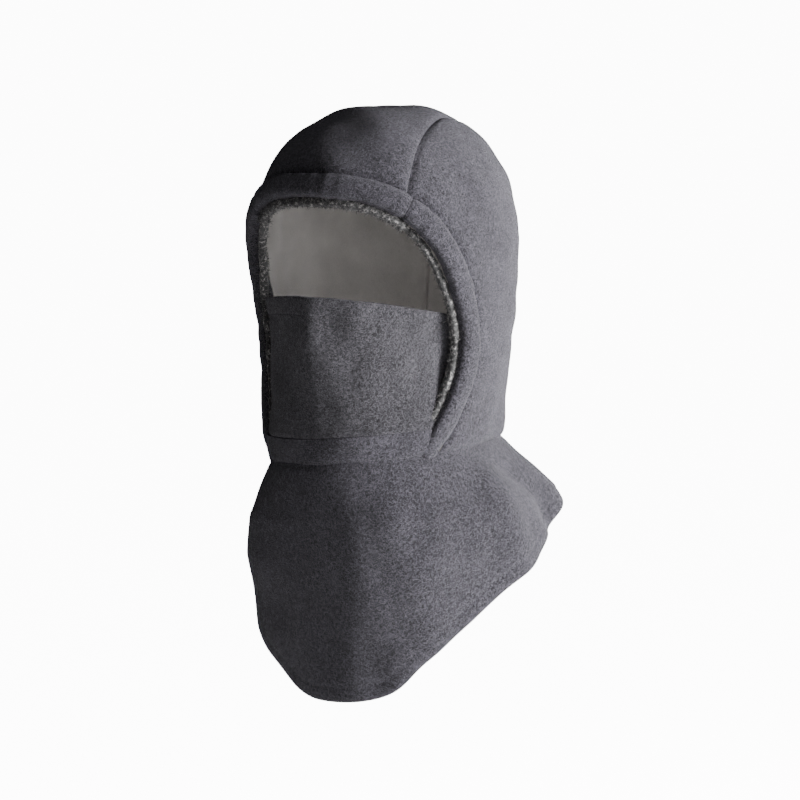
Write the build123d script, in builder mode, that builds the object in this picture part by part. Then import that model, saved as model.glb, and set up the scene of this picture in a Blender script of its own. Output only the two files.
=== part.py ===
"""Fleece balaclava with a padded face rim, a pull-down mask and a flared neck bib.

The wearer looks along -Y, +Z is up and +X is the wearer's left. The origin is the centre
of the head space at brow height. All sizes are in millimetres.
"""

from build123d import *
import os

os.makedirs("parts", exist_ok=True)

# ---- hood: a head form, wider above the ears than at the neck --------------------------
HEAD_HALF_WIDTH = 92.0      # outer half width at the widest level
JAW_HALF_WIDTH = 86.5
NECK_HALF_WIDTH = 80.5      # outer half width at the neck seam
DEPTH_RATIO = 1.19          # front-to-back size over side-to-side size
CROWN_HEIGHT = 76.0         # top of the hood
WIDEST_LEVEL = -33.0        # where the dome of the crown begins
JAW_LEVEL = -110.0
NECK_LEVEL = -174.0         # seam between the hood and the bib
DOME_POWER = 2.4            # 2 is an ellipse, more is a squarer dome
DOME_RISES = [0.35, 0.6, 0.8, 0.92, 0.98, 0.9985]  # levels of its sections, as shares

# ---- layers ----------------------------------------------------------------------------
FLEECE = 2.5                # outer fleece
LINING = 3.5                # brushed lining behind it

# ---- crown strip: the centre panel, which tapers towards the nape ------------------------
STRIP_HALF_WIDTH = 44.0     # half width over the ears
STRIP_TAPER = 0.21          # half width lost for each millimetre further back
SEAM_REACH = 160.0          # the seam planes run this far to the front and back

# ---- face rim ----------------------------------------------------------------------------
RIM_WIDTH = 17.4            # padded roll, measured along the hood
RIM_PROUD = 5.0             # how far the roll stands out of the fleece
RIM_DEPTH = 7.0             # how far it reaches inside
RIM_COVER = 2.5             # thickness of the roll's cover
FACING_WIDTH = 5.0          # plush strip along the inner edge of the roll
FACING_SET_BACK = 1.0       # its front face, behind the fleece's outer face
FACING_THICKNESS = 7.0
BROW_LEVEL = 26.0           # middle of the rim at the front centre
BROW_Y = -120.0
RIM_SIDE = [(-92, 20), (-66, -4), (-45, -40), (-32, -76), (-30, -104), (-37, -134)]
RIM_FOOT_Y = -55.0          # where the middle of the roll meets the neck seam
RIM_STEPS = 12              # stretches in which the rim's edges follow its middle line

# ---- mask --------------------------------------------------------------------------------
MASK_NOSE_LEVEL = -54.0     # top edge at the front
MASK_TOP_SLOPE = 0.2        # how much the top edge falls for each millimetre further back
MASK_JAW_LEVEL = -110.0
MASK_CHIN_LEVEL = -155.0    # seam between the mask and the chin strip
MASK_NOSE_TUCK = 2.8        # how far the mask's sides lie inside the plush strips
MASK_JAW_TUCK = 4.8
MASK_CHIN_TUCK = 9.6
MASK_NOSE_PROUD = 1.02      # how far the mask's front stands out of the head form
MASK_JAW_PROUD = 0.06
MASK_CHIN_PROUD = -1.42
MASK_FLEECE = 2.5
MASK_LINING = 1.5
MASK_MARGIN_Y = -32.0       # side margins, tucked behind the plush strip
HEM_HEIGHT = 12.0           # turned-over hem at the mask's top edge
HEM_PROUD = 0.8             # how far the hem stands out of the mask
MASK_GAP = 0.4              # slack between the mask and the chin strip

# ---- bib ---------------------------------------------------------------------------------
# level, half width, centre and half depth of the cape's outer face below the neck seam
BIB_SECTIONS = [
    (-190.0, 89.0, 7.0, 102.5),
    (-215.0, 103.0, 18.0, 113.0),
    (-245.0, 111.0, 31.0, 121.0),
    (-300.0, 117.0, 54.0, 134.0),
    (-360.0, 119.0, 74.0, 142.0),
]
HEM_FRONT = (-105, -353)
HEM_TIP = (-68, -350)       # lowest point, at the front
HEM_SIDE = [(-54, -322), (-30, -291), (0, -265), (40, -247), (85, -236)]
HEM_BACK = (190, -222)

REACH = 250.0               # cutting bodies run this far from the origin, past the fabric


def head_form(grow):
    """Solid head form, larger than the fleece's outer face by grow."""
    widest = HEAD_HALF_WIDTH + grow
    top = CROWN_HEIGHT + grow
    sections = [(NECK_LEVEL, NECK_HALF_WIDTH + grow), (JAW_LEVEL, JAW_HALF_WIDTH + grow),
                (WIDEST_LEVEL, widest)]
    for rise in DOME_RISES:
        level = WIDEST_LEVEL + rise * (top - WIDEST_LEVEL)
        sections.append((level, widest * (1 - rise ** DOME_POWER) ** (1 / DOME_POWER)))
    with BuildPart() as form:
        for level, half_width in sections:
            with BuildSketch(Plane.XY.offset(level)):
                Ellipse(half_width, half_width * DEPTH_RATIO)
        loft()
    return form.part


def head_layer(outer, inner):
    """Layer of the hood between two distances from the fleece's outer face."""
    outside = head_form(outer)
    inside = head_form(inner)
    with BuildPart() as layer:
        add(outside)
        add(inside, mode=Mode.SUBTRACT)
    return layer.part


def rim_line(grow):
    """The rim's middle line in side view, moved outwards by grow: points and end directions."""
    middle = Spline([(BROW_Y, BROW_LEVEL)] + RIM_SIDE + [(RIM_FOOT_Y, NECK_LEVEL)],
                    tangents=[(1, 0), (-0.45, -1)])
    points = []
    for step in range(RIM_STEPS + 1):
        at = middle @ (step / RIM_STEPS)
        along = middle % (step / RIM_STEPS)
        points.append((at.X - grow * along.Y, at.Y + grow * along.X))
    return points, middle % 1


def face_space(grow):
    """Space in front of the rim's middle line, moved outwards by grow, right through along X."""
    points, foot_way = rim_line(grow)
    with BuildPart() as space:
        with BuildSketch(Plane.YZ):
            with BuildLine():
                edge = Spline(points, tangents=[(1, 0), (foot_way.X, foot_way.Y)])
                foot = (edge @ 1) + foot_way * RIM_WIDTH * 2
                Polyline(edge @ 1, foot, (-REACH, foot.Y), (-REACH, points[0][1]), edge @ 0)
            make_face()
        extrude(amount=REACH, both=True)
    return space.part


def crown_zone():
    """Space over the crown strip, between the two crown seams."""
    front = STRIP_HALF_WIDTH + STRIP_TAPER * SEAM_REACH
    back = STRIP_HALF_WIDTH - STRIP_TAPER * SEAM_REACH
    with BuildPart() as strip:
        with BuildSketch(Plane.XY.offset(-REACH)):
            with BuildLine():
                Polyline((-front, -SEAM_REACH), (front, -SEAM_REACH),
                         (back, SEAM_REACH), (-back, SEAM_REACH), close=True)
            make_face()
        extrude(amount=2 * REACH)
        with BuildSketch(Plane.XY.offset(-REACH)):
            with Locations((0, -REACH / 2)):
                Rectangle(2 * REACH, REACH)
        extrude(amount=REACH + WIDEST_LEVEL, mode=Mode.SUBTRACT)
    return strip.part


def half_space(sign):
    """Everything on one side of the middle plane."""
    with BuildPart() as half:
        with BuildSketch(Plane.XY.offset(-REACH)):
            with Locations((sign * REACH / 2, 0)):
                Rectangle(REACH, 2 * REACH)
        extrude(amount=2 * REACH)
    return half.part


def write(piece, name):
    """Label a finished piece and save it."""
    piece.part.label = name
    export_step(piece.part, f"parts/{name}.step")


def keep_zone(side):
    """Cut the part being built down to the top, left or right panel's share of it."""
    if side == "top":
        add(CROWN, mode=Mode.INTERSECT)
    else:
        add(LEFT_HALF if side == "left" else RIGHT_HALF, mode=Mode.INTERSECT)
        add(CROWN, mode=Mode.SUBTRACT)


def hood_piece(layer, side, name):
    """One panel of a hood layer, from the rim's outer edge to the neck seam."""
    with BuildPart() as panel:
        add(layer)
        add(FACE_TO_ROLL, mode=Mode.SUBTRACT)
        keep_zone(side)
    write(panel, name)


def rim_ring(layer, outer_space, inner_space, side):
    """Stretch of a ring round the face, between two face spaces."""
    with BuildPart() as ring:
        add(layer)
        add(outer_space, mode=Mode.INTERSECT)
        add(inner_space, mode=Mode.SUBTRACT)
        keep_zone(side)
    return ring


def rim_cover(padding, side, name):
    """Fabric tube of the roll, hollow for its padding."""
    solid_roll = rim_ring(ROLL_LAYER, FACE_TO_ROLL, FACE_IN_ROLL, side)
    with BuildPart() as cover:
        add(solid_roll.part)
        add(padding.part, mode=Mode.SUBTRACT)
    write(cover, name)


def below_chin_seam():
    """Everything under the seam between the mask and the chin strip."""
    with BuildPart() as block:
        with BuildSketch(Plane.XY.offset(-REACH)):
            Rectangle(2 * REACH, 2 * REACH)
        extrude(amount=REACH + MASK_CHIN_LEVEL)
    return block.part


def chin_piece(layer, name):
    """Strip under the chin, between the feet of the two rolls."""
    under_seam = below_chin_seam()
    with BuildPart() as strip:
        add(layer)
        add(FACE_IN_FACING, mode=Mode.INTERSECT)
        add(under_seam, mode=Mode.INTERSECT)
    write(strip, name)


def mask_size(head_half_width, tuck, proud):
    """Half width and half depth of the mask where the hood has this half width."""
    return (head_half_width - RIM_WIDTH / 2 - FACING_WIDTH - tuck,
            head_half_width * DEPTH_RATIO + proud)


def mask_layer(outer, inner):
    """Ring of mask fabric between two distances inside its outer face."""
    levels = [MASK_CHIN_LEVEL + MASK_GAP, MASK_JAW_LEVEL, MASK_NOSE_LEVEL + HEM_HEIGHT]
    sizes = [MASK_CHIN_SIZE, MASK_JAW_SIZE, MASK_NOSE_SIZE]
    sides = []
    for distance in (outer, inner):
        with BuildPart() as side:
            for level, (half_width, half_depth) in zip(levels, sizes):
                with BuildSketch(Plane.XY.offset(level)):
                    Ellipse(half_width - distance, half_depth - distance)
            loft()
        sides.append(side.part)
    with BuildPart() as layer:
        add(sides[0])
        add(sides[1], mode=Mode.SUBTRACT)
    return layer.part


def mask_side_view(top_drop, bottom_drop):
    """Band of the mask between two distances below its sloping top edge."""
    def edge(y, drop):
        return MASK_NOSE_LEVEL - drop - MASK_TOP_SLOPE * (y + MASK_NOSE_SIZE[1])
    low_front = max(edge(-REACH, bottom_drop), MASK_CHIN_LEVEL)
    low_back = max(edge(MASK_MARGIN_Y, bottom_drop), MASK_CHIN_LEVEL)
    with BuildPart() as band:
        with BuildSketch(Plane.YZ):
            with BuildLine():
                Polyline((-REACH, edge(-REACH, top_drop)),
                         (MASK_MARGIN_Y, edge(MASK_MARGIN_Y, top_drop)),
                         (MASK_MARGIN_Y, low_back), (-REACH, low_front), close=True)
            make_face()
        extrude(amount=REACH, both=True)
    return band.part


def mask_piece(outer, inner, top_drop, bottom_drop, name):
    """One layer of the mask over a band of its height."""
    layer = mask_layer(outer, inner)
    band = mask_side_view(top_drop, bottom_drop)
    with BuildPart() as piece:
        add(layer)
        add(band, mode=Mode.INTERSECT)
    write(piece, name)


def bib_form(inset):
    """Solid cape, from the neck seam down past the lowest point of the hem."""
    neck = (NECK_LEVEL, NECK_HALF_WIDTH, 0, NECK_HALF_WIDTH * DEPTH_RATIO)
    with BuildPart() as form:
        for level, half_width, centre, half_depth in [neck] + BIB_SECTIONS:
            with BuildSketch(Plane.XY.offset(level)):
                with Locations((0, centre)):
                    Ellipse(half_width - inset, half_depth - inset)
        loft()
    return form.part


def below_hem():
    """Everything under the hem: deep at the front tip, high behind."""
    floor = BIB_SECTIONS[-1][0] - FLEECE
    with BuildPart() as block:
        with BuildSketch(Plane.YZ):
            with BuildLine():
                hem = Spline([HEM_FRONT, HEM_TIP] + HEM_SIDE + [HEM_BACK])
                Polyline(hem @ 1, (REACH, HEM_BACK[1]), (REACH, floor),
                         (HEM_FRONT[0], floor), hem @ 0)
            make_face()
        extrude(amount=REACH, both=True)
    return block.part


def bib_layer(outer, inner, name):
    """One layer of the cape, all round the neck."""
    outside = bib_form(outer)
    inside = bib_form(inner)
    under_hem = below_hem()
    with BuildPart() as layer:
        add(outside)
        add(inside, mode=Mode.SUBTRACT)
        add(under_hem, mode=Mode.SUBTRACT)
    write(layer, name)


LINING_BACK = FLEECE + LINING
FLEECE_LAYER = head_layer(0, -FLEECE)
LINING_LAYER = head_layer(-FLEECE, -LINING_BACK)
ROLL_LAYER = head_layer(RIM_PROUD, -RIM_DEPTH)
PADDING_LAYER = head_layer(RIM_PROUD - RIM_COVER, RIM_COVER - RIM_DEPTH)
FACING_LAYER = head_layer(-FACING_SET_BACK, -FACING_SET_BACK - FACING_THICKNESS)

FACE_TO_ROLL = face_space(RIM_WIDTH / 2)
FACE_TO_PADDING = face_space(RIM_WIDTH / 2 - RIM_COVER)
FACE_IN_PADDING = face_space(RIM_COVER - RIM_WIDTH / 2)
FACE_IN_ROLL = face_space(-RIM_WIDTH / 2)
FACE_IN_FACING = face_space(-RIM_WIDTH / 2 - FACING_WIDTH)

CROWN = crown_zone()
LEFT_HALF = half_space(1)
RIGHT_HALF = half_space(-1)

for side, panel, lining in (("top", "crown_panel", "crown_lining"),
                            ("left", "side_panel_left", "side_lining_left"),
                            ("right", "side_panel_right", "side_lining_right")):
    hood_piece(FLEECE_LAYER, side, panel)
    hood_piece(LINING_LAYER, side, lining)

for side, cover, padding, facing in (
        ("top", "brim_cover", "brim_padding", "plush_facing_top"),
        ("left", "rim_roll_cover_left", "rim_roll_padding_left", "plush_facing_left"),
        ("right", "rim_roll_cover_right", "rim_roll_padding_right", "plush_facing_right")):
    wadding = rim_ring(PADDING_LAYER, FACE_TO_PADDING, FACE_IN_PADDING, side)
    rim_cover(wadding, side, cover)
    write(wadding, padding)
    write(rim_ring(FACING_LAYER, FACE_IN_ROLL, FACE_IN_FACING, side), facing)

chin_piece(FLEECE_LAYER, "chin_strip")
chin_piece(LINING_LAYER, "chin_strip_lining")

CHIN_SHARE = (MASK_CHIN_LEVEL - NECK_LEVEL) / (JAW_LEVEL - NECK_LEVEL)
CHIN_HALF_WIDTH = NECK_HALF_WIDTH + CHIN_SHARE * (JAW_HALF_WIDTH - NECK_HALF_WIDTH)
MASK_NOSE_SIZE = mask_size(HEAD_HALF_WIDTH, MASK_NOSE_TUCK, MASK_NOSE_PROUD)
MASK_JAW_SIZE = mask_size(JAW_HALF_WIDTH, MASK_JAW_TUCK, MASK_JAW_PROUD)
MASK_CHIN_SIZE = mask_size(CHIN_HALF_WIDTH, MASK_CHIN_TUCK, MASK_CHIN_PROUD)
MASK_BACK = MASK_FLEECE + MASK_LINING
MASK_HEIGHT = MASK_NOSE_LEVEL - MASK_CHIN_LEVEL + REACH * MASK_TOP_SLOPE
mask_piece(-HEM_PROUD, MASK_BACK, 0, HEM_HEIGHT, "mask_top_hem")
mask_piece(0, MASK_FLEECE, HEM_HEIGHT, MASK_HEIGHT, "mask_panel")
mask_piece(MASK_FLEECE, MASK_BACK, HEM_HEIGHT, MASK_HEIGHT, "mask_lining")

bib_layer(0, FLEECE, "bib_outer")
bib_layer(FLEECE, LINING_BACK, "bib_lining")
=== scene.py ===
import math

import bpy
import numpy as np
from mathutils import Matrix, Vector


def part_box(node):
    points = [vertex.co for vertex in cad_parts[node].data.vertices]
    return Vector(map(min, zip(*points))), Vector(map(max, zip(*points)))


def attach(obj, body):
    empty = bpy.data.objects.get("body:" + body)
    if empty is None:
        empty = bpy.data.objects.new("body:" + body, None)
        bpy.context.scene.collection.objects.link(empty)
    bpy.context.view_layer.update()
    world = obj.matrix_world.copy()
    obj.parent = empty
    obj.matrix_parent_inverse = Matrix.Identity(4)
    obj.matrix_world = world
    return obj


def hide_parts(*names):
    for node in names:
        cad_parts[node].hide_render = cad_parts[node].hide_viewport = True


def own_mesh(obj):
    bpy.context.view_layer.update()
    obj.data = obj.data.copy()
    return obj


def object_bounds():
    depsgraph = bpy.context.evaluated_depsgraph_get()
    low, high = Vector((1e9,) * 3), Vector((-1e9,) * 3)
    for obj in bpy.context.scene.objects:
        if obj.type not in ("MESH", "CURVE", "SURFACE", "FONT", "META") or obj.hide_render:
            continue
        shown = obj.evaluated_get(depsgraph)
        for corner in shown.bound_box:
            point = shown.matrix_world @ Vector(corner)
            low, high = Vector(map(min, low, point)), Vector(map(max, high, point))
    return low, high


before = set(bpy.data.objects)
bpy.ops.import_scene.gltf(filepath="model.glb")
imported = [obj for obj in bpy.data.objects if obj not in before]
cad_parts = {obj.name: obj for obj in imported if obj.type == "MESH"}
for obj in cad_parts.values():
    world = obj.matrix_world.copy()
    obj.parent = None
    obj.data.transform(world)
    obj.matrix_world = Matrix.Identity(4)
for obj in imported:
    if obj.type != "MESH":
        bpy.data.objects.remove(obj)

CAD_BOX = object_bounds()

MM = 0.001
SEED = 7

# ---- hood form, as in the frame ----------------------------------------------------------
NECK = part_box("chin_strip")[0].z
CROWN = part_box("crown_panel")[1].z
HALF_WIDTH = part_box("side_panel_left")[1].x
WIDEST = -33 * MM
DEPTH_RATIO = 1.19
DOME_POWER = 2.4
TAPER = 0.0241              # narrowing below the widest level, in mm at TAPER_POWER
TAPER_POWER = 1.25
FLEECE = 2.5 * MM
LINING = 3.5 * MM

# ---- seams and rim -----------------------------------------------------------------------
STRIP_HALF_WIDTH = 44 * MM
STRIP_TAPER = 0.21
RIM_WIDTH = 17.4 * MM
RIM_PROUD = 6 * MM
RIM_DEPTH = 7 * MM
FACING = {"top": 5.5 * MM, "left": 4.2 * MM, "right": 4.2 * MM}
SPARSE_ABOVE = -62 * MM      # the side strips lie flatter above this level
RIM_LINE = np.array([(-120, 26), (-92, 20), (-66, -4), (-45, -40), (-32, -76), (-30, -104),
                     (-37, -134), (-55, -174), (-70, -206)]) * MM

# ---- mask --------------------------------------------------------------------------------
MASK_LEVELS = np.array([-155, -146, -130, -110, -54, -20]) * MM
MASK_WIDTHS = np.array([82.5, 80.6, 77, 74.5, 77.5, 79]) * MM
MASK_DEPTHS = np.array([98.2, 98.6, 99.8, 103, 110.5, 113]) * MM
MASK_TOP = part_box("mask_top_hem")[1].z
MASK_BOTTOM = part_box("mask_panel")[0].z
MASK_TOP_FRONT = -54 * MM    # top edge at the front centre
MASK_NOSE_Y = -110.5 * MM    # the mask's front there
MASK_SLOPE = 0.2             # fall of the top edge for each step further back
HEM_HEIGHT = 12 * MM
MASK_LINING = 1.5 * MM
NOSE_RIDGE = 2.4 * MM
NOSE_HALF_WIDTH = 9 * MM
MASK_WAVE = 0.9 * MM         # sag between the cheeks
DART_DEPTH = 1.1 * MM

# ---- bib ---------------------------------------------------------------------------------
BIB_LEVELS = np.array([-360, -300, -245, -215, -190, -174]) * MM
BIB_WIDTHS = np.array([121, 122, 120, 111, 92, 80.5]) * MM
BIB_CENTRES = np.array([74, 54, 31, 18, 7, 0]) * MM
BIB_DEPTHS = np.array([142, 134, 121, 113, 102.5, 95.8]) * MM
HEM_LINE = np.array([(-140, -352), (-105, -353), (-68, -350), (-54, -322), (-30, -291), (0, -265),
                     (40, -241), (85, -221), (150, -206), (190, -202), (260, -200)]) * MM

BIB_LINING_ROW = 3           # first row of the bib that its lining reaches
BIB_TUCK = 2.5 * MM          # how far the bib's edge runs up inside the neck seam
# folds: angle round the neck in degrees (0 is the wearer's left, -90 the front), width, height
FOLDS = [(-14, 8, 8.0), (3, 8, -8.0), (22, 12, 6.0), (48, 14, -4.0), (75, 15, 4.0), (105, 15, -3.5),
         (132, 14, 4.0), (160, 13, -4.5), (185, 12, 4.5), (203, 10, -3.5), (-32, 12, -2.0),
         (-128, 10, 2.0), (-112, 10, -1.2), (-62, 14, 1.4)]

# ---- rim pieces --------------------------------------------------------------------------
SEAM_TUCK = 2 * MM           # how far the rolls run on under the neck seam
FOOT_HEIGHT = 15 * MM        # the rolls draw in over this height above the neck seam
FOOT_SINK = 3.0 * MM
FOOT_PINCH = 0.22
COVER = 2.5 * MM             # thickness of the rolls' cover
FACING_SINK = 4.5 * MM       # middle of the plush strip, behind the fleece's outer face
FACING_SINK_HIGH = 2.5 * MM  # how much deeper the side strips lie above the mask
TUFTS = {"top": 2600, "side": 2200}
TUFT_LENGTH = (1.6 * MM, 3.4 * MM)
TUFT_RADIUS = (0.16 * MM, 0.3 * MM)
TUFT_CORNERS = (0, 2.1, 4.2)

# ---- wearing, materials and studio -------------------------------------------------------
WORN_TWIST = 0.10            # the neck sits this much higher on the wearer's left
WORN_FROM = -60 * MM         # the twist grows from this level down to the neck seam
OUTER_NAP = ((0.002, 0.0018, 0.0024), (0.013, 0.012, 0.0155), (0.044, 0.041, 0.051))
MASK_NAP = ((0.002, 0.0018, 0.0022), (0.013, 0.0123, 0.0147), (0.043, 0.041, 0.047))
VIEW = (30, 8)               # azimuth and elevation of the camera, in degrees
VIEW_DISTANCE = 1.9
VIEW_AIM = (0.0094, -0.1378)  # point looked at, to the right of and above the origin
LENS = 117.9
AMBIENT = 0.07               # even light from all round
BACKDROP = 12.0              # how bright the paper and the backdrop look to the camera
# lights: azimuth, elevation, distance, diameter, power
LIGHTS = {"key": (94, 7, 1.5, 0.6, 165), "top": (75, 62, 1.5, 0.9, 6), "fill": (45, 5, 2.0, 1.2, 12)}
INSIDE_LIGHT = (-0.01, -0.045, -0.02)
INSIDE_SIZE = 0.07
INSIDE_POWER = 0.11
LIT_CENTRE = Vector((0, 0, -0.13))
FLOOR_DROP = 0.35            # the floor lies well below the hanging bib
FLOOR_SIZE = 40.0
COARSE = 1.0


def steps(count):
    return max(8, int(count * COARSE))


def smooth_line(points, count):
    """Even points along a smooth curve through the given ones."""
    points = np.asarray(points, float)
    ends = np.vstack([2 * points[0] - points[1], points, 2 * points[-1] - points[-2]])
    out = []
    for i in range(1, len(ends) - 2):
        a, b, c, d = ends[i - 1:i + 3]
        t = np.linspace(0, 1, 60, endpoint=False)[:, None]
        out.append(0.5 * (2 * b + (c - a) * t + (2 * a - 5 * b + 4 * c - d) * t ** 2
                          + (3 * b - a - 3 * c + d) * t ** 3))
    return resample(np.vstack(out + [points[-1:]]), count)


def resample(line, count):
    """Points at even distances along a polyline."""
    run = np.r_[0, np.cumsum(np.linalg.norm(np.diff(line, axis=0), axis=1))]
    at = np.linspace(0, run[-1], count)
    return np.stack([np.interp(at, run, line[:, k]) for k in range(line.shape[1])], 1)


def half_width(z):
    """Half width of the hood's outer face at a level."""
    z = np.asarray(z, float)
    rise = np.clip((z - WIDEST) / (CROWN - WIDEST), 0, 1)
    dome = HALF_WIDTH * (1 - rise ** DOME_POWER) ** (1 / DOME_POWER)
    drop = np.clip(WIDEST - z, 0, None) / MM
    return np.where(z > WIDEST, dome, HALF_WIDTH - TAPER * MM * drop ** TAPER_POWER)


def outside(p):
    """Above 1 outside the hood form, below 1 inside it."""
    a = np.maximum(half_width(p[..., 2]), 1e-6)
    over = np.clip(p[..., 2] - CROWN, 0, None) * 1e4
    return (p[..., 0] / a) ** 2 + (p[..., 1] / (a * DEPTH_RATIO)) ** 2 + over


def head_normal(p):
    """Outward unit normal of the hood form."""
    step = 0.4 * MM
    g = np.stack([outside(p + d) - outside(p - d) for d in np.eye(3) * step], -1)
    top = np.linalg.norm(g, axis=-1, keepdims=True)
    return g / np.maximum(top, 1e-9)


def head_x(y, z):
    """Sideways distance of the hood's face at a place in side view."""
    a = half_width(z)
    return a * np.sqrt(np.clip(1 - (y / (a * DEPTH_RATIO)) ** 2, 0, None))


def seam_x(y):
    """Sideways distance of the crown seam at a place from front to back."""
    return STRIP_HALF_WIDTH - STRIP_TAPER * y


def rim_side_view(grow):
    """The rim's middle line in side view, moved outwards."""
    line = smooth_line(RIM_LINE, 600)
    along = np.gradient(line, axis=0)
    along /= np.linalg.norm(along, axis=1, keepdims=True)
    return line + grow * np.stack([-along[:, 1], along[:, 0]], 1)


def on_face(line):
    """A side-view line laid on the hood's left face, from the front centre to the neck seam."""
    y, z = line[:, 0], line[:, 1]
    kept = (np.abs(y) < half_width(z) * DEPTH_RATIO) & (z > NECK - SEAM_TUCK)
    y, z = y[kept], z[kept]
    p = np.stack([head_x(y, z), y, z], 1)
    front = np.array([[0, -half_width(z[0]) * DEPTH_RATIO, z[0]]])
    return np.vstack([front, p])


def ray_point(angle, share):
    """Point of the hood at an angle in side view, share of the way from the middle to the seam."""
    low = np.zeros_like(angle)
    high = np.full_like(angle, 0.4)
    for _ in range(34):
        r = (low + high) / 2
        y = r * np.cos(angle)
        p = np.stack([share * seam_x(y), y, WIDEST + r * np.sin(angle)], -1)
        inside = outside(p) < 1
        low = np.where(inside, r, low)
        high = np.where(inside, high, r)
    return p


def angle_where(test, low, high, share):
    """Angle between low and high at which test turns from true to false."""
    low = np.full_like(share, low)
    high = np.full_like(share, high)
    for _ in range(26):
        angle = (low + high) / 2
        hit = test(ray_point(angle, share))
        low = np.where(hit, angle, low)
        high = np.where(hit, high, angle)
    return angle


def strip_angles(share):
    """Angles of the brim's top edge and of the nape, for shares across the crown strip."""
    edge = rim_side_view(RIM_WIDTH / 2)
    order = np.argsort(edge[:300, 0])
    ys, zs = edge[:300, 0][order], edge[:300, 1][order]
    front = angle_where(lambda p: p[..., 2] > np.interp(p[..., 1], ys, zs),
                        math.radians(95), math.radians(200), share)
    back = angle_where(lambda p: p[..., 2] > NECK, math.radians(60), math.radians(-75), share)
    return front, back


def ripple(p, size, seed, octaves=2):
    """Smooth noise made of sines, about -1 to 1, with features of the given size."""
    rng = np.random.default_rng(SEED + seed)
    total = np.zeros(p.shape[:-1])
    for octave in range(octaves):
        for _ in range(6):
            way = rng.normal(size=3)
            way *= 2 * math.pi / (size * np.linalg.norm(way)) * (1.7 ** octave)
            total += np.sin(p @ way + rng.uniform(0, 6.3)) / (6 ** 0.5 * 1.8 ** octave)
    return total


def worn(p):
    """The garment's slight twist on the head, which grows from the cheeks down to the neck."""
    p = p.copy()
    share = np.clip((WORN_FROM - p[..., 2]) / (WORN_FROM - NECK), 0, 1)
    p[..., 2] += WORN_TWIST * p[..., 0] * share * share * (3 - 2 * share)
    return p


def mesh_piece(node, points, faces, body, material):
    """Detailed piece that stands for the CAD node of the same name."""
    name = node + "_soft"
    mesh = bpy.data.meshes.new(name)
    mesh.from_pydata(points.tolist(), [], faces)
    mesh.validate()
    mesh.polygons.foreach_set("use_smooth", [True] * len(mesh.polygons))
    obj = bpy.data.objects.new(name, mesh)
    bpy.context.scene.collection.objects.link(obj)
    mesh.materials.append(material)
    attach(obj, body)
    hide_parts(node)
    return obj


def cloth(name, front, back, body, material, loop=False):
    """Closed piece of fabric between two grids of points: its outer and its inner face."""
    rows, cols = front.shape[:2]
    points = worn(np.vstack([front.reshape(-1, 3), back.reshape(-1, 3)]))
    half = rows * cols
    wrap = cols if loop else cols - 1
    faces = []
    for i in range(rows - 1):
        for j in range(wrap):
            k = (j + 1) % cols
            quad = (i * cols + j, i * cols + k, (i + 1) * cols + k, (i + 1) * cols + j)
            faces.append(quad)
            faces.append(tuple(half + q for q in reversed(quad)))
    rim = []
    for j in range(wrap):
        k = (j + 1) % cols
        rim.append((k, j))
        rim.append(((rows - 1) * cols + j, (rows - 1) * cols + k))
    if not loop:
        for i in range(rows - 1):
            rim.append((i * cols, (i + 1) * cols))
            rim.append(((i + 1) * cols + cols - 1, i * cols + cols - 1))
    faces += [(a, b, half + b, half + a) for a, b in rim]
    return mesh_piece(name, points, faces, body, material)


def puffed(p, normal, edge, depth=2.0 * MM, reach=3.0 * MM):
    """Fabric that dips into the seams at its edges and swells gently between them."""
    dip = depth * np.exp(-(edge / reach) ** 2)
    return p + normal * (0.7 * MM * ripple(p, 45 * MM, 1) - dip)[..., None]


def edge_distance(p, sides):
    """Distance of each grid point from the nearest of the grid's named sides."""
    lines = {"first_row": p[0], "last_row": p[-1], "first_col": p[:, 0], "last_col": p[:, -1]}
    flat = p.reshape(-1, 3)
    nearest = np.full(len(flat), 1.0)
    for side in sides:
        line = lines[side]
        for start in range(0, len(flat), 4000):
            d = np.linalg.norm(flat[start:start + 4000, None] - line[None], axis=2).min(1)
            nearest[start:start + 4000] = np.minimum(nearest[start:start + 4000], d)
    return nearest.reshape(p.shape[:-1])


# ---- hood panels -------------------------------------------------------------------------
def crown_grid():
    """Crown strip: lines from the brim's top edge over the head to the nape."""
    share = np.linspace(-1, 1, steps(56))
    front, back = strip_angles(share)
    along = np.linspace(0, 1, steps(220))[:, None]
    shares = np.broadcast_to(share, (len(along), len(share)))
    return ray_point(front + (back - front) * along, shares)


def side_grid():
    """Left side panel: lines from the rim's outer edge back to the crown seam and the nape."""
    rim = on_face(rim_side_view(RIM_WIDTH / 2))
    start = np.argmax(rim[:, 0] >= seam_x(rim[:, 1]))
    rows = steps(200)
    near = resample(rim[start:], rows)
    front, back = strip_angles(np.ones(1))
    angles = np.linspace(front[0], back[0], 500)
    far = resample(ray_point(angles, np.ones(500)), rows)
    near[0] = far[0]
    near[-1, 2] = far[-1, 2] = NECK
    across = np.linspace(0, 1, steps(70))[None, :, None]
    flat = near[:, None, 1:] * (1 - across) + far[:, None, 1:] * across
    x = head_x(flat[..., 0], flat[..., 1])
    x[:, 0], x[:, -1] = near[:, 0], far[:, 0]
    return np.concatenate([x[..., None], flat], -1)


def mirrored(p):
    """The same grid on the wearer's right."""
    return (p * np.array([-1, 1, 1]))[:, ::-1]


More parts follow.
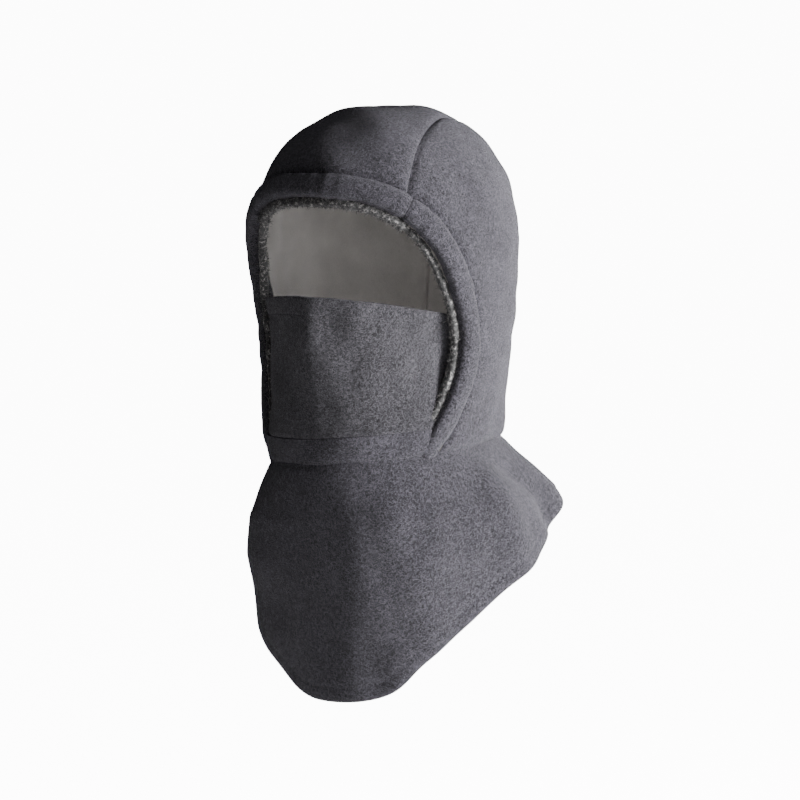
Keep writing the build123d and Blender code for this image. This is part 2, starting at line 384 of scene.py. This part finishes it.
def hood_panels(fleece, lining):
    """Crown strip and side panels, each with its lining."""
    crown = crown_grid()
    left = side_grid()
    all_round = ("first_row", "last_row", "first_col", "last_col")
    for name, grid, sides in (("crown_panel", crown, all_round),
                              ("side_panel_left", left, all_round[1:]),
                              ("side_panel_right", mirrored(left), all_round[1:])):
        normal = head_normal(grid)
        face = puffed(grid, normal, edge_distance(grid, sides))
        piece = cloth(name, face, grid - normal * FLEECE, "hood", fleece)
        inner = name.replace("panel", "lining")
        back = grid - normal * (FLEECE + LINING + 0.6 * MM * ripple(grid, 40 * MM, 2)[..., None])
        under = cloth(inner, grid - normal * (FLEECE + 0.1 * MM), back, "hood", lining)


# ---- rim -----------------------------------------------------------------------------------
def sweep(path, normal, width, top, bottom, turns, pinch):
    """Rounded tube along a path on the hood: a grid of rings."""
    along = np.gradient(path, axis=0)
    along /= np.linalg.norm(along, axis=1, keepdims=True)
    side = np.cross(along, normal)
    side /= np.linalg.norm(side, axis=1, keepdims=True)
    turn = np.linspace(0, 2 * math.pi, turns, endpoint=False)
    across = np.sign(np.cos(turn)) * np.abs(np.cos(turn)) ** 0.8 * width / 2
    up = np.sign(np.sin(turn)) * np.abs(np.sin(turn)) ** 0.8
    up = up * (top + bottom) / 2 + (top - bottom) / 2
    size = pinch[:, None, None]
    return path[:, None] + size * (side[:, None] * across[None, :, None]
                                   + normal[:, None] * up[None, :, None])


def tube_faces(rows, cols):
    """Faces of a closed tube whose rings have cols points each."""
    faces = []
    for i in range(rows - 1):
        for j in range(cols):
            k = (j + 1) % cols
            faces.append((i * cols + j, i * cols + k, (i + 1) * cols + k, (i + 1) * cols + j))
    faces.append(tuple(reversed(range(cols))))
    faces.append(tuple((rows - 1) * cols + j for j in range(cols)))
    return faces


def tube(name, rings, body, material):
    """Closed tube from rings of points."""
    rows, cols = rings.shape[:2]
    return mesh_piece(name, worn(rings.reshape(-1, 3)), tube_faces(rows, cols), body, material)


def rim_paths(grow):
    """Brim, left and right stretches of a line round the face."""
    left = on_face(rim_side_view(grow))
    start = np.argmax(left[:, 0] >= seam_x(left[:, 1]))
    brim = np.vstack([left[start::-1] * np.array([-1, 1, 1]), left[1:start + 1]])
    roll = left[start:]
    return {"top": resample(brim, steps(150)), "left": resample(roll, steps(190)),
            "right": resample(roll * np.array([-1, 1, 1]), steps(190))}


def pinched(count, length, hold=2.5 * MM, least=0.86):
    """Size along a tube that draws in at both ends, where it is sewn."""
    run = np.linspace(0, length, count)
    end = np.minimum(run, length - run)
    return 1 - (1 - least) * np.exp(-(end / hold) ** 2)


def rim_pieces(fleece, wadding, pile):
    """Brim and side rolls: cover, wadding and the plush strip along the inner edge."""
    names = {"top": ("brim_cover", "brim_padding", "plush_facing_top"),
             "left": ("rim_roll_cover_left", "rim_roll_padding_left", "plush_facing_left"),
             "right": ("rim_roll_cover_right", "rim_roll_padding_right", "plush_facing_right")}
    middles = rim_paths(0)
    for side, (cover, padding, facing) in names.items():
        path = middles[side]
        normal = head_normal(path)
        length = np.linalg.norm(np.diff(path, axis=0), axis=1).sum()
        pinch = pinched(len(path), length)
        if side != "top":
            foot = np.exp(-((path[:, 2] - NECK) / FOOT_HEIGHT) ** 2)
            path = path - normal * (FOOT_SINK * foot)[:, None]
            pinch = pinch * (1 - FOOT_PINCH * foot)
        pucker = 1 + 0.035 * ripple(path, 14 * MM, 3) + 0.03 * ripple(path, 50 * MM, 4)
        rings = sweep(path, normal, RIM_WIDTH, RIM_PROUD, RIM_DEPTH, steps(36), pinch * pucker)
        outer = tube(cover, rings, "hood", fleece)
        core = sweep(path, normal, RIM_WIDTH - 2 * COVER, RIM_PROUD - COVER, RIM_DEPTH - COVER,
                     steps(20), pinch)
        inside = tube(padding, core, "hood", wadding)
        inner = rim_paths(-RIM_WIDTH / 2 - FACING[side] / 2 + 1 * MM)[side]
        plush(facing, inner[inner[:, 2] > MASK_BOTTOM - 1 * MM], FACING[side], pile)


def plush(name, path, wide, pile):
    """Strip of long pile along the inner edge of the roll: a soft core and its tufts."""
    at_side = "top" not in name
    rng = np.random.default_rng(SEED + len(name))
    normal = head_normal(path)
    high = np.clip((path[:, 2] - SPARSE_ABOVE) / (20 * MM), 0, 1) * at_side
    base = path - normal * (FACING_SINK + FACING_SINK_HIGH * high)[:, None]
    size = 1 + 0.10 * ripple(path, 9 * MM, 5)
    rings = sweep(base, normal, wide + 1.5 * MM, 3 * MM, 3 * MM, steps(20), size)
    along = np.gradient(path, axis=0)
    along /= np.linalg.norm(along, axis=1, keepdims=True)
    side = np.cross(along, normal)
    rows, cols = rings.shape[:2]
    points = [rings.reshape(-1, 3)]
    faces = tube_faces(rows, cols)
    count = rows * cols
    for _ in range(steps(TUFTS["side" if at_side else "top"])):
        i = rng.integers(1, rows - 1)
        if at_side and path[i, 2] > SPARSE_ABOVE and rng.uniform() < 0.7:
            continue
        turn = rng.uniform(0, 2 * math.pi)
        across_strip = side[i] * math.cos(turn)
        out_of_strip = normal[i] * math.sin(turn)
        root = base[i] + across_strip * wide * 0.55 + out_of_strip * 2.4 * MM
        root = root + along[i] * rng.uniform(-1, 1) * MM
        lean = (across_strip + out_of_strip + along[i] * rng.normal(0, 0.7)
                + normal[i] * rng.normal(0, 0.35))
        points.append(tuft(rng, root, lean / np.linalg.norm(lean)))
        for a, b in ((0, 1), (1, 2), (2, 0)):
            faces.append((count + a, count + b, count + 3 + b, count + 3 + a))
            faces.append((count + 3 + a, count + 3 + b, count + 6))
        faces.append((count + 2, count + 1, count))
        count += 7
    piece = mesh_piece(name, worn(np.vstack(points)), faces, "hood", pile)


def tuft(rng, root, lean):
    """Points of one curled tuft of pile: two triangles and a tip."""
    curl = rng.normal(size=3) * 0.9 * MM
    long = rng.uniform(*TUFT_LENGTH)
    across = np.cross(lean, rng.normal(size=3))
    across /= np.linalg.norm(across)
    other = np.cross(lean, across)
    thick = rng.uniform(*TUFT_RADIUS)
    spokes = [across * math.cos(a) + other * math.sin(a) for a in TUFT_CORNERS]
    bottom = [root + thick * spoke for spoke in spokes]
    middle = [root + lean * long * 0.55 + curl * 0.4 + 0.7 * thick * spoke for spoke in spokes]
    return np.array(bottom + middle + [root + lean * long + curl])


# ---- chin strip ----------------------------------------------------------------------------
def chin_pieces(fleece, lining):
    """Strip under the mask's seam, between the feet of the two rolls, and its lining."""
    edge = rim_side_view(-2 * MM)
    levels = np.linspace(MASK_BOTTOM - 0.4 * MM, NECK, steps(26))
    order = np.argsort(edge[200:, 1])
    y_edge = np.interp(levels, edge[200:, 1][order], edge[200:, 0][order])
    share = np.linspace(-1, 1, steps(110))
    a = half_width(levels)
    b = a * DEPTH_RATIO
    reach = np.arccos(np.clip(-y_edge / b, -1, 1))
    angle = reach[:, None] * share[None]
    grid = np.stack([a[:, None] * np.sin(angle), -b[:, None] * np.cos(angle),
                     np.broadcast_to(levels[:, None], angle.shape)], -1)
    normal = head_normal(grid)
    face = puffed(grid, normal, edge_distance(grid, ("last_row",)), 1.0 * MM, 2.0 * MM)
    strip = cloth("chin_strip", face, grid - normal * FLEECE, "hood", fleece)
    back = cloth("chin_strip_lining", grid - normal * (FLEECE + 0.1 * MM),
                 grid - normal * (FLEECE + LINING), "hood", lining)


# ---- mask ----------------------------------------------------------------------------------
def mask_grid(drops):
    """Rows of the mask at distances below its sloping top edge; drops run 0 at the edge to 1."""
    share = np.linspace(-1, 1, steps(170))
    rim = rim_side_view(-2 * MM)[150:][::-1]
    rows = []
    for drop in drops:
        z = np.full_like(share, MASK_TOP)
        for _ in range(12):
            a = np.interp(z, MASK_LEVELS, MASK_WIDTHS)
            b = np.interp(z, MASK_LEVELS, MASK_DEPTHS)
            margin = np.interp(z, rim[:, 1], rim[:, 0])
            reach = np.arccos(np.clip(-margin / b, -1, 1))
            y = -b * np.cos(reach * share)
            top = MASK_TOP_FRONT - MASK_SLOPE * (y - MASK_NOSE_Y)
            z = np.maximum(top - drop * (top - MASK_BOTTOM), MASK_BOTTOM)
        rows.append(np.stack([a * np.sin(reach * share), y, z], -1))
    grid = np.array(rows)
    for _ in range(4):
        grid[1:-1] = (grid[:-2] + 2 * grid[1:-1] + grid[2:]) / 4
    return grid


def mask_normal(p):
    """Outward unit normals of the mask's grid."""
    down = np.gradient(p, axis=0)
    across = np.gradient(p, axis=1)
    n = np.cross(down, across)
    n /= np.maximum(np.linalg.norm(n, axis=-1, keepdims=True), 1e-12)
    return n * np.where((n[..., 1:2] * p[..., 1:2]).mean() > 0, 1, -1)


def mask_shape(p, normal):
    """Nose ridge, sag between the cheeks and the dart below the mask's upper right corner."""
    nose = NOSE_RIDGE * np.exp(-(p[..., 0] / NOSE_HALF_WIDTH) ** 2)
    wave = MASK_WAVE * ripple(p * np.array([1, 1, 0.55]), 34 * MM, 6)
    dart_line = (p[..., 2] + 74 * MM) - 0.12 * (p[..., 0] + 60 * MM)
    near = np.clip((-30 * MM - p[..., 0]) / (25 * MM), 0, 1)
    dart = -DART_DEPTH * near * np.exp(-(dart_line / (2.2 * MM)) ** 2)
    free = np.clip((p[..., 2] - MASK_BOTTOM) / (30 * MM), 0, 1)
    return p + normal * ((nose + wave) * free + dart)[..., None]


def mask_pieces(fleece, lining):
    """Mask panel, its lining and its turned top hem, each with a mesh of its own."""
    hem_share = HEM_HEIGHT / (MASK_TOP_FRONT - MASK_BOTTOM)
    hem_drops = np.linspace(0, hem_share, steps(14))
    drops = np.linspace(hem_share, 1, steps(90))
    face = mask_grid(drops)
    normal = mask_normal(face)
    shaped = mask_shape(face, normal)
    edge = edge_distance(face, ("last_row",))
    gathered = 0.2 + 0.8 * np.clip((np.abs(face[..., 0]) - 18 * MM) / (22 * MM), 0, 1)
    outer = shaped - normal * (gathered * 0.6 * MM * np.exp(-(edge / (1.8 * MM)) ** 2))[..., None]
    panel = cloth("mask_panel", outer, shaped - normal * FLEECE, "mask", fleece)
    under = cloth("mask_lining", shaped - normal * (FLEECE + 0.05 * MM),
                  shaped - normal * (FLEECE + MASK_LINING), "mask", lining)
    hem = mask_grid(hem_drops)
    hem_normal = mask_normal(hem)
    roll = np.linspace(-1, 1, len(hem_drops))[:, None]
    bulge = 0.4 * MM * np.clip(1 - ((roll + 1) / 2) ** 4, 0, 1)
    hem_face = mask_shape(hem, hem_normal) + hem_normal * bulge[..., None]
    hem_back = mask_shape(hem, hem_normal) - hem_normal * (3.2 * MM + 0.8 * bulge)[..., None]
    turned = cloth("mask_top_hem", hem_face, hem_back, "mask", fleece)
    for piece, size in ((panel, "mask"), (under, "mask"), (turned, "hem")):
        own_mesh(piece)


# ---- bib -----------------------------------------------------------------------------------
def bib_grid():
    """Rows of the cape's outer face, from the neck seam down to the hem all round."""
    angle = np.linspace(0, 2 * math.pi, steps(300), endpoint=False)
    hem = smooth_line(HEM_LINE, 400)

    def place(z):
        a = np.interp(z, BIB_LEVELS, BIB_WIDTHS)
        b = np.interp(z, BIB_LEVELS, BIB_DEPTHS)
        y = np.interp(z, BIB_LEVELS, BIB_CENTRES) + b * np.sin(angle)
        return np.stack([a * np.cos(angle), y, z], -1)

    low = np.full_like(angle, BIB_LEVELS[0])
    high = np.full_like(angle, NECK)
    for _ in range(30):
        z = (low + high) / 2
        above = z > np.interp(place(z)[:, 1], hem[:, 0], hem[:, 1])
        high = np.where(above, z, high)
        low = np.where(above, low, z)
    rows = [place(NECK + (z - NECK) * share) for share in np.linspace(0, 1, steps(110)) ** 1.15]
    return np.array(rows), angle


def bib_pieces(fleece, lining):
    """Cape with its drape folds, and its lining."""
    grid, angle = bib_grid()
    for _ in range(3):
        grid[1:-1] = (grid[:-2] + 2 * grid[1:-1] + grid[2:]) / 4
    down = np.gradient(grid, axis=0)
    across = np.roll(grid, -1, 1) - np.roll(grid, 1, 1)
    normal = np.cross(across, down)
    normal /= np.maximum(np.linalg.norm(normal, axis=-1, keepdims=True), 1e-12)
    normal *= np.sign((normal * (grid - np.array([0, 0.02, 0]))).sum())
    below = np.clip((NECK - grid[..., 2]) / (45 * MM), 0, 1)
    below = below * below * (3 - 2 * below)
    height = np.zeros(grid.shape[:2])
    for at, width, rise in FOLDS:
        apart = (np.degrees(angle) - at + 180) % 360 - 180
        swing = apart[None] + 10 * (below - 0.5) * math.copysign(1, rise)
        height += rise * MM * np.exp(-(swing / width) ** 2)
    height = height * below + 0.8 * MM * ripple(grid, 48 * MM, 8) * below
    shaped = grid + normal * height[..., None]
    top = edge_distance(grid, ("first_row",))
    hem = edge_distance(grid, ("last_row",))
    turned = 0.5 * MM * np.exp(-((hem - 11 * MM) / (1.5 * MM)) ** 2)
    dip = 2.0 * MM * np.exp(-(top / (3 * MM)) ** 2) + 0.9 * MM * np.exp(-(hem / (1.2 * MM)) ** 2)
    face = shaped - normal * (dip + turned)[..., None]
    tucked = np.stack([0 * top, 0 * top, BIB_TUCK * np.exp(-(top / BIB_TUCK) ** 2)], -1)
    outer = cloth("bib_outer", face + tucked, shaped - normal * FLEECE + tucked, "hood",
                  fleece, True)
    lined, inwards = shaped[BIB_LINING_ROW:], normal[BIB_LINING_ROW:]
    inner = cloth("bib_lining", lined - inwards * (FLEECE + 0.05 * MM),
                  lined - inwards * (FLEECE + LINING * 0.7), "hood", lining, True)


# ---- materials -----------------------------------------------------------------------------
def nodes_of(name):
    """New material, its node tree and its shader."""
    material = bpy.data.materials.new(name)
    material.use_nodes = True
    tree = material.node_tree
    return material, tree, tree.nodes["Principled BSDF"]


def link(tree, a, b):
    """Join two sockets."""
    tree.links.new(a, b)


def noise(tree, place, scale, detail, rough, distort=0.0):
    """Noise from 0 to 1 over the object's own space."""
    node = tree.nodes.new("ShaderNodeTexNoise")
    node.inputs["Scale"].default_value = scale
    node.inputs["Detail"].default_value = detail
    node.inputs["Roughness"].default_value = rough
    node.inputs["Distortion"].default_value = distort
    link(tree, place, node.inputs["Vector"])
    return node.outputs["Fac"]


def ramp(tree, value, stops):
    """Colours blended between stops of a value."""
    node = tree.nodes.new("ShaderNodeValToRGB")
    node.color_ramp.elements[0].position = stops[0][0]
    node.color_ramp.elements[0].color = (*stops[0][1], 1)
    node.color_ramp.elements[1].position = stops[-1][0]
    node.color_ramp.elements[1].color = (*stops[-1][1], 1)
    for place, colour in stops[1:-1]:
        node.color_ramp.elements.new(place).color = (*colour, 1)
    link(tree, value, node.inputs["Fac"])
    return node.outputs["Color"]


def math_node(tree, kind, a, b):
    """Sum, product or difference of two sockets or numbers."""
    node = tree.nodes.new("ShaderNodeMath")
    node.operation = kind
    for value, socket in ((a, node.inputs[0]), (b, node.inputs[1])):
        if isinstance(value, (int, float)):
            socket.default_value = value
        else:
            link(tree, value, socket)
    return node.outputs[0]


def bump(tree, shader, height, distance, strength=1.0):
    """Relief on a shader's surface."""
    node = tree.nodes.new("ShaderNodeBump")
    node.inputs["Distance"].default_value = distance
    node.inputs["Strength"].default_value = strength
    link(tree, height, node.inputs["Height"])
    link(tree, node.outputs["Normal"], shader.inputs["Normal"])


def fleece_material(name, dark, mid, light):
    """Short curly nap: dark gaps between lit curls, with a faint cloudiness."""
    material, tree, shader = nodes_of(name)
    place = tree.nodes.new("ShaderNodeTexCoord").outputs["Object"]
    curls = noise(tree, place, 600, 3.0, 0.65, 1.3)
    fibres = noise(tree, place, 1900, 2.0, 0.6)
    cloud = noise(tree, place, 38, 3.0, 0.5)
    mixed = math_node(tree, "ADD", math_node(tree, "MULTIPLY", curls, 0.72),
                      math_node(tree, "MULTIPLY", fibres, 0.28))
    mixed = math_node(tree, "ADD", mixed, math_node(tree, "MULTIPLY",
                      math_node(tree, "SUBTRACT", cloud, 0.5), 0.06))
    colour = ramp(tree, mixed, [(0.41, dark), (0.50, mid), (0.60, light)])
    link(tree, colour, shader.inputs["Base Color"])
    shader.inputs["Roughness"].default_value = 0.95
    shader.inputs["Specular IOR Level"].default_value = 0.15
    shader.inputs["Sheen Weight"].default_value = 0.12
    shader.inputs["Sheen Roughness"].default_value = 0.5
    shader.inputs["Sheen Tint"].default_value = (0.78, 0.76, 0.85, 1)
    bump(tree, shader, mixed, 3.0 * MM, 1.0)
    return material


def lining_material():
    """Smooth brushed knit with fine ribs."""
    material, tree, shader = nodes_of("lining_knit")
    place = tree.nodes.new("ShaderNodeTexCoord").outputs["Object"]
    fine = noise(tree, place, 1500, 2.0, 0.6)
    cloud = noise(tree, place, 30, 2.0, 0.5)
    mixed = math_node(tree, "ADD", math_node(tree, "MULTIPLY", fine, 0.5),
                      math_node(tree, "MULTIPLY", cloud, 0.5))
    colour = ramp(tree, mixed, [(0.3, (0.12, 0.113, 0.108)), (0.7, (0.17, 0.16, 0.154))])
    link(tree, colour, shader.inputs["Base Color"])
    shader.inputs["Roughness"].default_value = 0.85
    shader.inputs["Specular IOR Level"].default_value = 0.2
    shader.inputs["Sheen Weight"].default_value = 0.25
    bump(tree, shader, fine, 0.4 * MM, 0.6)
    return material


def pile_material():
    """Long pile: pale tips over dark gaps."""
    material, tree, shader = nodes_of("plush_pile")
    place = tree.nodes.new("ShaderNodeTexCoord").outputs["Object"]
    tuft = noise(tree, place, 420, 3.0, 0.7, 0.6)
    colour = ramp(tree, tuft, [(0.44, (0.003, 0.003, 0.0032)), (0.54, (0.014, 0.0135, 0.014)),
                               (0.66, (0.16, 0.152, 0.15))])
    link(tree, colour, shader.inputs["Base Color"])
    shader.inputs["Roughness"].default_value = 0.8
    shader.inputs["Sheen Weight"].default_value = 0.1
    bump(tree, shader, tuft, 1.0 * MM, 0.8)
    return material


def wadding_material():
    """White loose fibres."""
    material, tree, shader = nodes_of("wadding")
    place = tree.nodes.new("ShaderNodeTexCoord").outputs["Object"]
    web = noise(tree, place, 260, 5.0, 0.75)
    colour = ramp(tree, web, [(0.3, (0.5, 0.5, 0.48)), (0.7, (0.8, 0.8, 0.78))])
    link(tree, colour, shader.inputs["Base Color"])
    shader.inputs["Roughness"].default_value = 1.0
    bump(tree, shader, web, 1.0 * MM, 0.7)
    return material


# ---- camera, light and floor ---------------------------------------------------------------
def view_axes(azimuth, elevation):
    """Directions towards the viewer, to the right and up, for a view from the front and round."""
    a, e = math.radians(azimuth), math.radians(elevation)
    back = Vector((math.sin(a) * math.cos(e), -math.cos(a) * math.cos(e), math.sin(e)))
    right = Vector((math.cos(a), math.sin(a), 0))
    return back, right, back.cross(right)


def make_camera():
    """Camera at the front left of the wearer, a little above the brow."""
    back, right, up = view_axes(*VIEW)
    aim = right * VIEW_AIM[0] + up * VIEW_AIM[1]
    data = bpy.data.cameras.new("camera")
    data.lens = LENS
    data.sensor_width = 36
    camera = bpy.data.objects.new("camera", data)
    camera.location = aim + back * VIEW_DISTANCE
    camera.rotation_euler = (-back).to_track_quat("-Z", "Y").to_euler()
    bpy.context.scene.collection.objects.link(camera)
    bpy.context.scene.camera = camera


def area_light(name, azimuth, elevation, distance, size, power):
    """Round soft light aimed at the middle of the garment."""
    back, _, _ = view_axes(azimuth, elevation)
    data = bpy.data.lights.new(name, "AREA")
    data.shape = "DISK"
    data.size = size
    data.energy = power
    light = bpy.data.objects.new(name, data)
    light.location = back * distance + LIT_CENTRE
    light.rotation_euler = (-back).to_track_quat("-Z", "Y").to_euler()
    bpy.context.scene.collection.objects.link(light)
    return light


def shown_brightness(tree, more):
    """Brightness for the camera's own rays only, added to what the light gives."""
    seen = tree.nodes.new("ShaderNodeLightPath").outputs["Is Camera Ray"]
    glow = math_node(tree, "MULTIPLY", seen, BACKDROP)
    return math_node(tree, "ADD", glow, more)


def make_studio():
    """Soft lights, a white backdrop and a pale paper floor."""
    for name, values in LIGHTS.items():
        area_light(name, *values)
    inner = area_light("inside", 0, 0, 0.0, INSIDE_SIZE, INSIDE_POWER)
    inner.location = Vector(INSIDE_LIGHT)
    world = bpy.data.worlds.new("studio")
    world.use_nodes = True
    tree = world.node_tree
    tree.nodes["Background"].inputs["Color"].default_value = (1, 1, 1, 1)
    link(tree, shown_brightness(tree, AMBIENT), tree.nodes["Background"].inputs["Strength"])
    bpy.context.scene.world = world
    level = CAD_BOX[0].z - FLOOR_DROP
    corners = [(x * FLOOR_SIZE, y * FLOOR_SIZE, level) for x, y in ((-1, -1), (1, -1), (1, 1), (-1, 1))]
    mesh = bpy.data.meshes.new("floor")
    mesh.from_pydata(corners, [], [(0, 1, 2, 3)])
    floor = bpy.data.objects.new("floor", mesh)
    bpy.context.scene.collection.objects.link(floor)
    material, tree, shader = nodes_of("floor_paper")
    place = tree.nodes.new("ShaderNodeTexCoord").outputs["Object"]
    colour = ramp(tree, noise(tree, place, 3, 2, 0.5),
                  [(0.3, (0.86, 0.86, 0.86)), (0.7, (0.9, 0.9, 0.9))])
    link(tree, colour, shader.inputs["Base Color"])
    shader.inputs["Roughness"].default_value = 0.9
    shader.inputs["Emission Color"].default_value = (1, 1, 1, 1)
    link(tree, shown_brightness(tree, 0.0), shader.inputs["Emission Strength"])
    mesh.materials.append(material)


make_camera()
make_studio()
OUTER = fleece_material("outer_fleece", *OUTER_NAP)
LINED = lining_material()
hood_panels(OUTER, LINED)
rim_pieces(OUTER, wadding_material(), pile_material())
chin_pieces(OUTER, LINED)
mask_pieces(fleece_material("mask_fleece", *MASK_NAP), LINED)
bib_pieces(OUTER, LINED)
